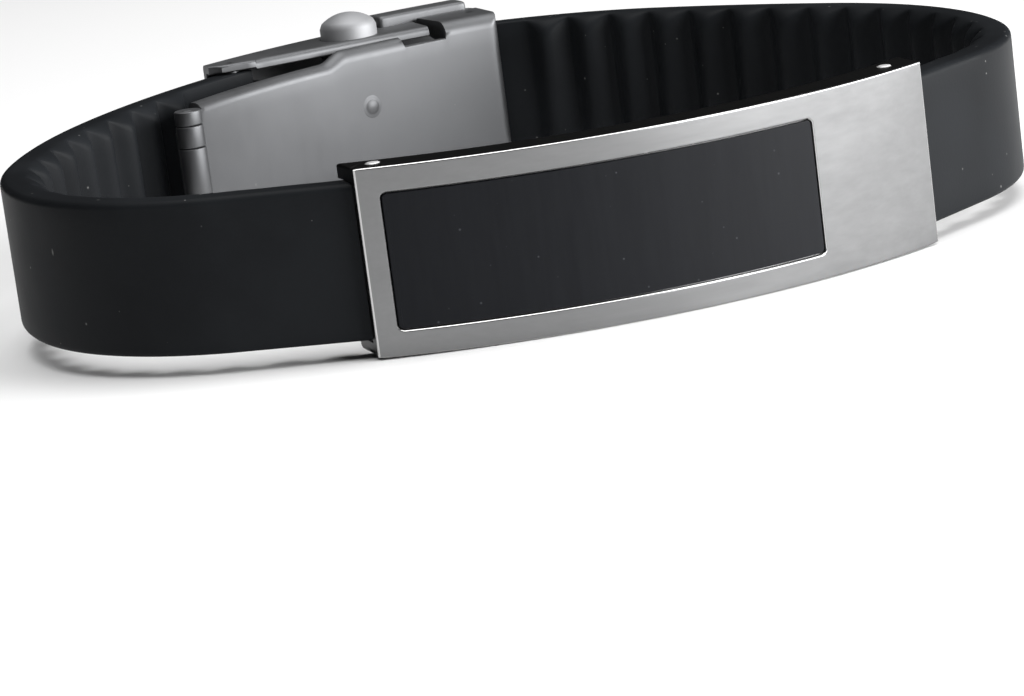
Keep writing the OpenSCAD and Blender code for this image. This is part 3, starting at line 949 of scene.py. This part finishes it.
def coverRings():
    middle, jump, corner = plate["height"] / 2, cover["jump"], cover["corner"]
    thinTip, cornerFrom = cover["thinTip"], cover["right"] - corner
    stations = set()
    marks = [cover["left"], cover["lipEdge"][1][0], cover["wallLeft"], cover["wallEdge"][1][0],
             cover["wallRight"], cornerFrom]
    for first, last in zip(marks, marks[1:]):
        count = math.ceil((last - first) / cover["step"])
        stations.update(round(first + (last - first) * i / count, 6) for i in range(count + 1))
    stations.update(round(cover["right"] - corner * (1 - math.sin(t)), 6)
                    for t in quarterTurn(cover["cornerSteps"])[:-1])
    stations.add(round(cover["right"] - cover["last"], 6))
    rings = []
    for x in sorted(stations):
        slope = math.cos(math.radians(bearingOf(x, clasp["outer"])))
        skinY = clasp["middle"][1] + clasp["outer"] * slope
        sheet = cover["sheet"] / slope
        past = max(0.0, x - cornerFrom)
        half = cover["half"] - corner + math.sqrt(max(corner ** 2 - past ** 2, 0.0))
        walled = channelRing(cover["half"], sheet, skinY - alongEdge(cover["wallEdge"], x),
                             cover["wall"], cover["bend"], cover["tip"])
        lipped = channelRing(cover["half"], sheet, skinY - alongEdge(cover["lipEdge"], x),
                             cover["lip"], cover["bend"], thinTip)
        plain = channelRing(half, sheet, 0, sheet,
                            min(cover["bend"], sheet * cover["bendShare"]), thinTip)
        if math.isclose(x, cover["wallLeft"]):
            rings += [(x - jump, lipped), (x + jump, walled)]
        elif math.isclose(x, cover["wallRight"]):
            rings += [(x - jump, walled), (x + jump, plain)]
        elif x < cover["wallRight"]:
            rings.append((x, walled if x > cover["wallLeft"] else lipped))
        else:
            rings.append((x, plain))
    return [(x, [(u, z + middle) for u, z in ring]) for x, ring in rings]


def onCover(x, u, z):
    slope = math.cos(math.radians(bearingOf(x, clasp["outer"])))
    return Vector((x, clasp["middle"][1] + clasp["outer"] * slope - u, z)) * mm


def makeCover():
    body = sweepRings("claspCover", coverRings(), onCover)
    bore = roundRod("bore", *button["place"], button["radius"] + button["gap"], -plate["past"],
                    plate["height"] + plate["past"], button["boreSides"])
    combine(body, bore, "DIFFERENCE")
    ridge, web, arm = cover["shoulder"], cover["web"], cover["arm"]
    middle, under = plate["height"] / 2, clasp["outer"] - cover["underSkin"]
    ends = [bearingOf(x, ridge["inner"]) for x in ridge["x"]]
    parts = []
    for upper in (True, False):
        bar = claspBar("shoulder", ridge["inner"], ridge["outer"], coverTop - cover["sheet"],
                       middle + ridge["half"], *ends, ridge["edge"], ridge["segments"])
        if not upper:
            turnOver(bar)
        parts.append(bar)
    leaf = claspBar("arm", arm["inner"], arm["inner"] + cover["sheet"], *arm["z"],
                    clasp["knuckle"][1], web["to"], arm["edge"])
    parts += [claspBar("web", web["inner"], under, *web["z"], web["from"], web["to"],
                       web["edge"]),
              claspBar("post", arm["inner"], under, *arm["z"], web["from"], web["to"],
                       web["edge"]),
              clearKnuckles(leaf, 0)]
    return joinInto(body, parts + knuckleBarrels(1))


button = {
    "place": (0.2, 33.8), "radius": 2.2, "rise": 1.9, "dome": 0.9, "edge": 0.24, "reach": 0.9,
    "collar": 2.35, "collarFrom": 10.3, "collarTo": 10.9, "ease": 0.05, "steps": 12,  # mm
    "gap": 0.05, "boreSides": 64, "smooth": 40,
}


def makeButton(name, upper):
    # stem with a collar inside the case and a low domed head outside
    tip, radius = coverTop + button["rise"], button["radius"]
    collar, ease = button["collar"], button["ease"]
    low, high = button["collarFrom"], button["collarTo"]
    ball = ballRadius(radius, button["dome"])
    profile = [(0, low), (collar - ease, low), (collar, low + ease), (collar, high - ease),
               (collar - ease, high), (radius, high),
               (radius, tip - button["dome"] - button["edge"])]
    profile += capProfile(ball, tip, button["reach"] * math.asin(radius / ball),
                          button["steps"])
    body = turnedPiece(name, profile, *button["place"])
    if not upper:
        turnOver(body)
    return body


# put it together
left, right = strap["left"], strap["right"]
platePins = [pinPlace(half, half["platePin"]) for half in (left, right)]
putDown(makePlate(platePins), "id_plate", "root", "plate_steel", "plateSteel", plate["smooth"])
putDown(makeInlay(), "window_inlay", "root", "window_black", "windowBlack", plate["smooth"])
for name, node, half in (("strapLeft", "strap_left", left), ("strapRight", "strap_right", right)):
    putDown(makeStrap(name, half), node, "root", "strap_rubber", "strapRubber", strap["smooth"])

pinTop = plate["height"] + turned["platePinProud"]
for name, node, place in (("platePinLeft", "plate_pin_left", platePins[0]),
                          ("platePinRight", "plate_pin_right", platePins[1])):
    profile = pinProfile(turned["pinRadius"], 0.0, pinTop, turned["platePinEdge"])
    putDown(turnedPiece(name, profile, *place), node, "root", "pin_steel", "pinSteel")

for piece, node in ((makeBase(), "clasp_base"), (makeCover(), "clasp_cover")):
    putDown(piece, node, "root", "clasp_steel", "claspSteel", clasp["smooth"])

marks = clasp["knuckleMarks"]
for name, node, slotName, place, radius, low, high in (
        ("hingePin", "clasp_hinge_pin", "clasp_steel", claspPoint(*clasp["knuckle"]),
         clasp["hingeRadius"], marks[0], marks[-1]),
        ("claspPinLeft", "clasp_pin_left", "pin_steel",
         pinPlace(left, runLength(left) - left["claspPin"]),
         turned["pinRadius"], plate["height"] - coverTop, coverTop),
        ("claspPinRight", "clasp_pin_right", "pin_steel",
         pinPlace(right, runLength(right) - right["claspPin"]),
         turned["pinRadius"], 0.0, plate["height"])):
    piece = turnedPiece(name, pinProfile(radius, low, high), *place)
    putDown(piece, node, "root", slotName, "claspSteel")

for name, node, body, upper in (
        ("pushButtonTop", "push_button_top", "button_top", True),
        ("pushButtonBottom", "push_button_bottom", "button_bottom", False)):
    putDown(makeButton(name, upper), node, body, "button_steel", "buttonSteel", button["smooth"])
print("bracelet ready")


# floor and studio light
studio = {
    "floorSize": 3.0, "floor": (0.90, 0.90, 0.90), "floorRough": 0.9, "floorGloss": 0.1,
    "world": (0.98, 0.99, 1.0), "worldStrength": 0.02, "aim": (0, 0, 0.006),  # metres
    "lamps": [
        {"name": "rightPanel", "place": (0.335, -0.265, 0.105), "size": (0.55, 0.20),
         "power": 4.7},
        {"name": "topPanel", "place": (0.05, -0.05, 0.9), "size": (0.9, 0.9), "power": 9.5},
    ],
}
deselectAll()
bpy.ops.mesh.primitive_plane_add(size=studio["floorSize"])
ground = bpy.context.object
ground.name = "floor"
groundFinish, _, groundShader, _ = startFinish("floorPaper")
groundShader.inputs["Base Color"].default_value = (*studio["floor"], 1.0)
groundShader.inputs["Roughness"].default_value = studio["floorRough"]
groundShader.inputs["Specular IOR Level"].default_value = studio["floorGloss"]
ground.data.materials.append(groundFinish)

world = bpy.data.worlds.new("studio")
scene.world = world
world.use_nodes = True
background = world.node_tree.nodes["Background"]
background.inputs["Color"].default_value = (*studio["world"], 1.0)
background.inputs["Strength"].default_value = studio["worldStrength"]
for lamp in studio["lamps"]:
    lampData = bpy.data.lights.new(lamp["name"], "AREA")
    lampData.shape = "RECTANGLE"
    lampData.size, lampData.size_y = lamp["size"]
    lampData.energy = lamp["power"]
    lampObject = bpy.data.objects.new(lamp["name"], lampData)
    lampObject.location = lamp["place"]
    towards = Vector(studio["aim"]) - Vector(lamp["place"])
    lampObject.rotation_euler = towards.to_track_quat("-Z", "Y").to_euler()
    scene.collection.objects.link(lampObject)
scene.view_settings.view_transform = "Standard"
print("studio ready")
